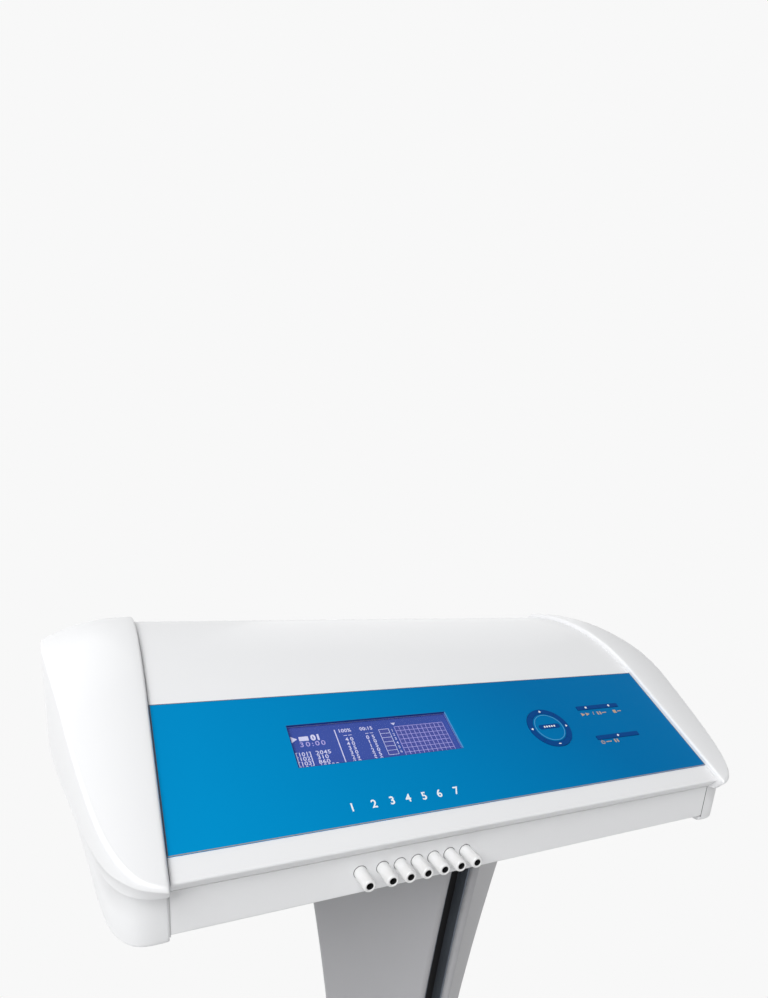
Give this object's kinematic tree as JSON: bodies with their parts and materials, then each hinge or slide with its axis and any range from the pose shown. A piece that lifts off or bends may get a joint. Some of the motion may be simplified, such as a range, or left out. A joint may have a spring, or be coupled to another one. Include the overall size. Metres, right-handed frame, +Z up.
{
  "type": "compression therapy pump",
  "caption": "Pneumatic compression console with sloping key panel, display and front air outlets, on a flared column with a castor base.",
  "frame": {"origin": "on the floor under the middle of the castor base, which is the middle of the bounding box's bottom", "axes": "+Z up, -Y towards the user who reads the display, +X to that user's right"},
  "size_m": [0.5956, 0.47, 1.0007],
  "materials": {
    "shell_white": "satin",
    "fascia_blue": "satin print",
    "lens_clear": "clear",
    "display_violet": "lit cell",
    "key_navy": "matt",
    "board_green": "matt",
    "switch_black": "matt",
    "outlet_white": "gloss",
    "nut_brass": "turned",
    "hose_clear": "satin",
    "manifold_metal": "milled",
    "coil_black": "matt",
    "compressor_metal": "cast",
    "foot_rubber": "matt",
    "motor_black": "satin",
    "supply_steel": "plain",
    "plate_grey": "satin",
    "inlet_black": "matt",
    "pin_brass": "bright",
    "rocker_black": "gloss",
    "fan_black": "matt",
    "screw_steel": "plain",
    "column_grey": "satin",
    "channel_black": "satin",
    "post_steel": "satin",
    "base_white": "satin",
    "fork_steel": "plated",
    "wheel_grey": "matt",
    "brake_black": "matt"
  },
  "bodies": {
    "stand": {"air_outlet_1": "outlet_white", "air_outlet_2": "outlet_white", "air_outlet_3": "outlet_white", "air_outlet_4": "outlet_white", "air_outlet_5": "outlet_white", "air_outlet_6": "outlet_white", "air_outlet_7": "outlet_white", "air_tubes": "hose_clear", "back_plate": "plate_grey", "base_cover": "base_white", "base_plate": "post_steel", "base_screws": "screw_steel", "column_back_cover": "column_grey", "column_channel": "channel_black", "column_flank_left": "column_grey", "column_flank_right": "column_grey", "column_post": "post_steel", "column_top_plate": "post_steel", "compressor_body": "compressor_metal", "compressor_feet": "foot_rubber", "compressor_motor": "motor_black", "console_screws": "screw_steel", "display_lens": "lens_clear", "display_module": "display_violet", "end_cap_left": "shell_white", "end_cap_right": "shell_white", "fan_frame": "fan_black", "fascia_panel": "fascia_blue", "inlet_module": "inlet_black", "inlet_pins": "pin_brass", "key_board": "board_green", "key_switches": "switch_black", "lower_tray": "shell_white", "main_board": "board_green", "outlet_nuts": "nut_brass", "power_supply": "supply_steel", "solenoid_valves": "coil_black", "top_cover": "shell_white", "valve_manifold": "manifold_metal"},
    "select_key": {"key_select": "key_navy"},
    "up_key": {"key_up": "key_navy"},
    "down_key": {"key_down": "key_navy"},
    "left_key": {"key_left": "key_navy"},
    "right_key": {"key_right": "key_navy"},
    "start_key": {"key_start": "key_navy"},
    "stop_key": {"key_stop": "key_navy"},
    "standby_key": {"key_standby": "key_navy"},
    "rocker": {"mains_rocker": "rocker_black"},
    "rotor": {"fan_rotor": "fan_black"},
    "fork_1": {"castor_fork_1": "fork_steel"},
    "wheel_1": {"castor_wheel_1": "wheel_grey"},
    "brake_1": {"castor_brake_1": "brake_black"},
    "fork_2": {"castor_fork_2": "fork_steel"},
    "wheel_2": {"castor_wheel_2": "wheel_grey"},
    "brake_2": {"castor_brake_2": "brake_black"},
    "fork_3": {"castor_fork_3": "fork_steel"},
    "wheel_3": {"castor_wheel_3": "wheel_grey"},
    "fork_4": {"castor_fork_4": "fork_steel"},
    "wheel_4": {"castor_wheel_4": "wheel_grey"}
  },
  "joints": [
    {"name": "key_select_press", "type": "slide", "parent": "stand", "child": "select_key", "axis": [0, 0.4765, -0.8792], "range_m": [0, 0.0005], "stiffness_N_per_m": 600, "springref_m": -0.0002},
    {"name": "key_up_press", "type": "slide", "parent": "stand", "child": "up_key", "axis": [0, 0.4765, -0.8792], "range_m": [0, 0.0005], "stiffness_N_per_m": 600, "springref_m": -0.0002},
    {"name": "key_down_press", "type": "slide", "parent": "stand", "child": "down_key", "axis": [0, 0.4765, -0.8792], "range_m": [0, 0.0005], "stiffness_N_per_m": 600, "springref_m": -0.0002},
    {"name": "key_left_press", "type": "slide", "parent": "stand", "child": "left_key", "axis": [0, 0.4765, -0.8792], "range_m": [0, 0.0005], "stiffness_N_per_m": 600, "springref_m": -0.0002},
    {"name": "key_right_press", "type": "slide", "parent": "stand", "child": "right_key", "axis": [0, 0.4765, -0.8792], "range_m": [0, 0.0005], "stiffness_N_per_m": 600, "springref_m": -0.0002},
    {"name": "key_start_press", "type": "slide", "parent": "stand", "child": "start_key", "axis": [0, 0.4765, -0.8792], "range_m": [0, 0.0005], "stiffness_N_per_m": 600, "springref_m": -0.0002},
    {"name": "key_stop_press", "type": "slide", "parent": "stand", "child": "stop_key", "axis": [0, 0.4765, -0.8792], "range_m": [0, 0.0005], "stiffness_N_per_m": 600, "springref_m": -0.0002},
    {"name": "key_standby_press", "type": "slide", "parent": "stand", "child": "standby_key", "axis": [0, 0.4765, -0.8792], "range_m": [0, 0.0005], "stiffness_N_per_m": 600, "springref_m": -0.0002},
    {"name": "mains_rocker_tilt", "type": "hinge", "parent": "stand", "child": "rocker", "pos_m": [0.084, 0.1635, 0.942], "axis": [-1, 0, 0], "range_deg": [0, 16]},
    {"name": "fan_spin", "type": "hinge", "parent": "stand", "child": "rotor", "pos_m": [-0.062, 0.1525, 0.929], "axis": [0, 1, 0], "continuous": true},
    {"name": "castor_swivel_1", "type": "hinge", "parent": "stand", "child": "fork_1", "pos_m": [-0.2, -0.185, 0.06], "axis": [0, 0, 1], "continuous": true},
    {"name": "castor_roll_1", "type": "hinge", "parent": "fork_1", "child": "wheel_1", "pos_m": [-0.2, -0.167, 0.025], "axis": [1, 0, 0], "continuous": true},
    {"name": "castor_brake_press_1", "type": "hinge", "parent": "fork_1", "child": "brake_1", "pos_m": [-0.2, -0.145, 0.0462], "axis": [-1, 0, 0], "range_deg": [0, 20]},
    {"name": "castor_swivel_2", "type": "hinge", "parent": "stand", "child": "fork_2", "pos_m": [0.2, -0.185, 0.06], "axis": [0, 0, 1], "continuous": true},
    {"name": "castor_roll_2", "type": "hinge", "parent": "fork_2", "child": "wheel_2", "pos_m": [0.2, -0.167, 0.025], "axis": [1, 0, 0], "continuous": true},
    {"name": "castor_brake_press_2", "type": "hinge", "parent": "fork_2", "child": "brake_2", "pos_m": [0.2, -0.145, 0.0462], "axis": [-1, 0, 0], "range_deg": [0, 20]},
    {"name": "castor_swivel_3", "type": "hinge", "parent": "stand", "child": "fork_3", "pos_m": [-0.2, 0.185, 0.06], "axis": [0, 0, 1], "continuous": true},
    {"name": "castor_roll_3", "type": "hinge", "parent": "fork_3", "child": "wheel_3", "pos_m": [-0.2, 0.203, 0.025], "axis": [1, 0, 0], "continuous": true},
    {"name": "castor_swivel_4", "type": "hinge", "parent": "stand", "child": "fork_4", "pos_m": [0.2, 0.185, 0.06], "axis": [0, 0, 1], "continuous": true},
    {"name": "castor_roll_4", "type": "hinge", "parent": "fork_4", "child": "wheel_4", "pos_m": [0.2, 0.203, 0.025], "axis": [1, 0, 0], "continuous": true}
  ]
}
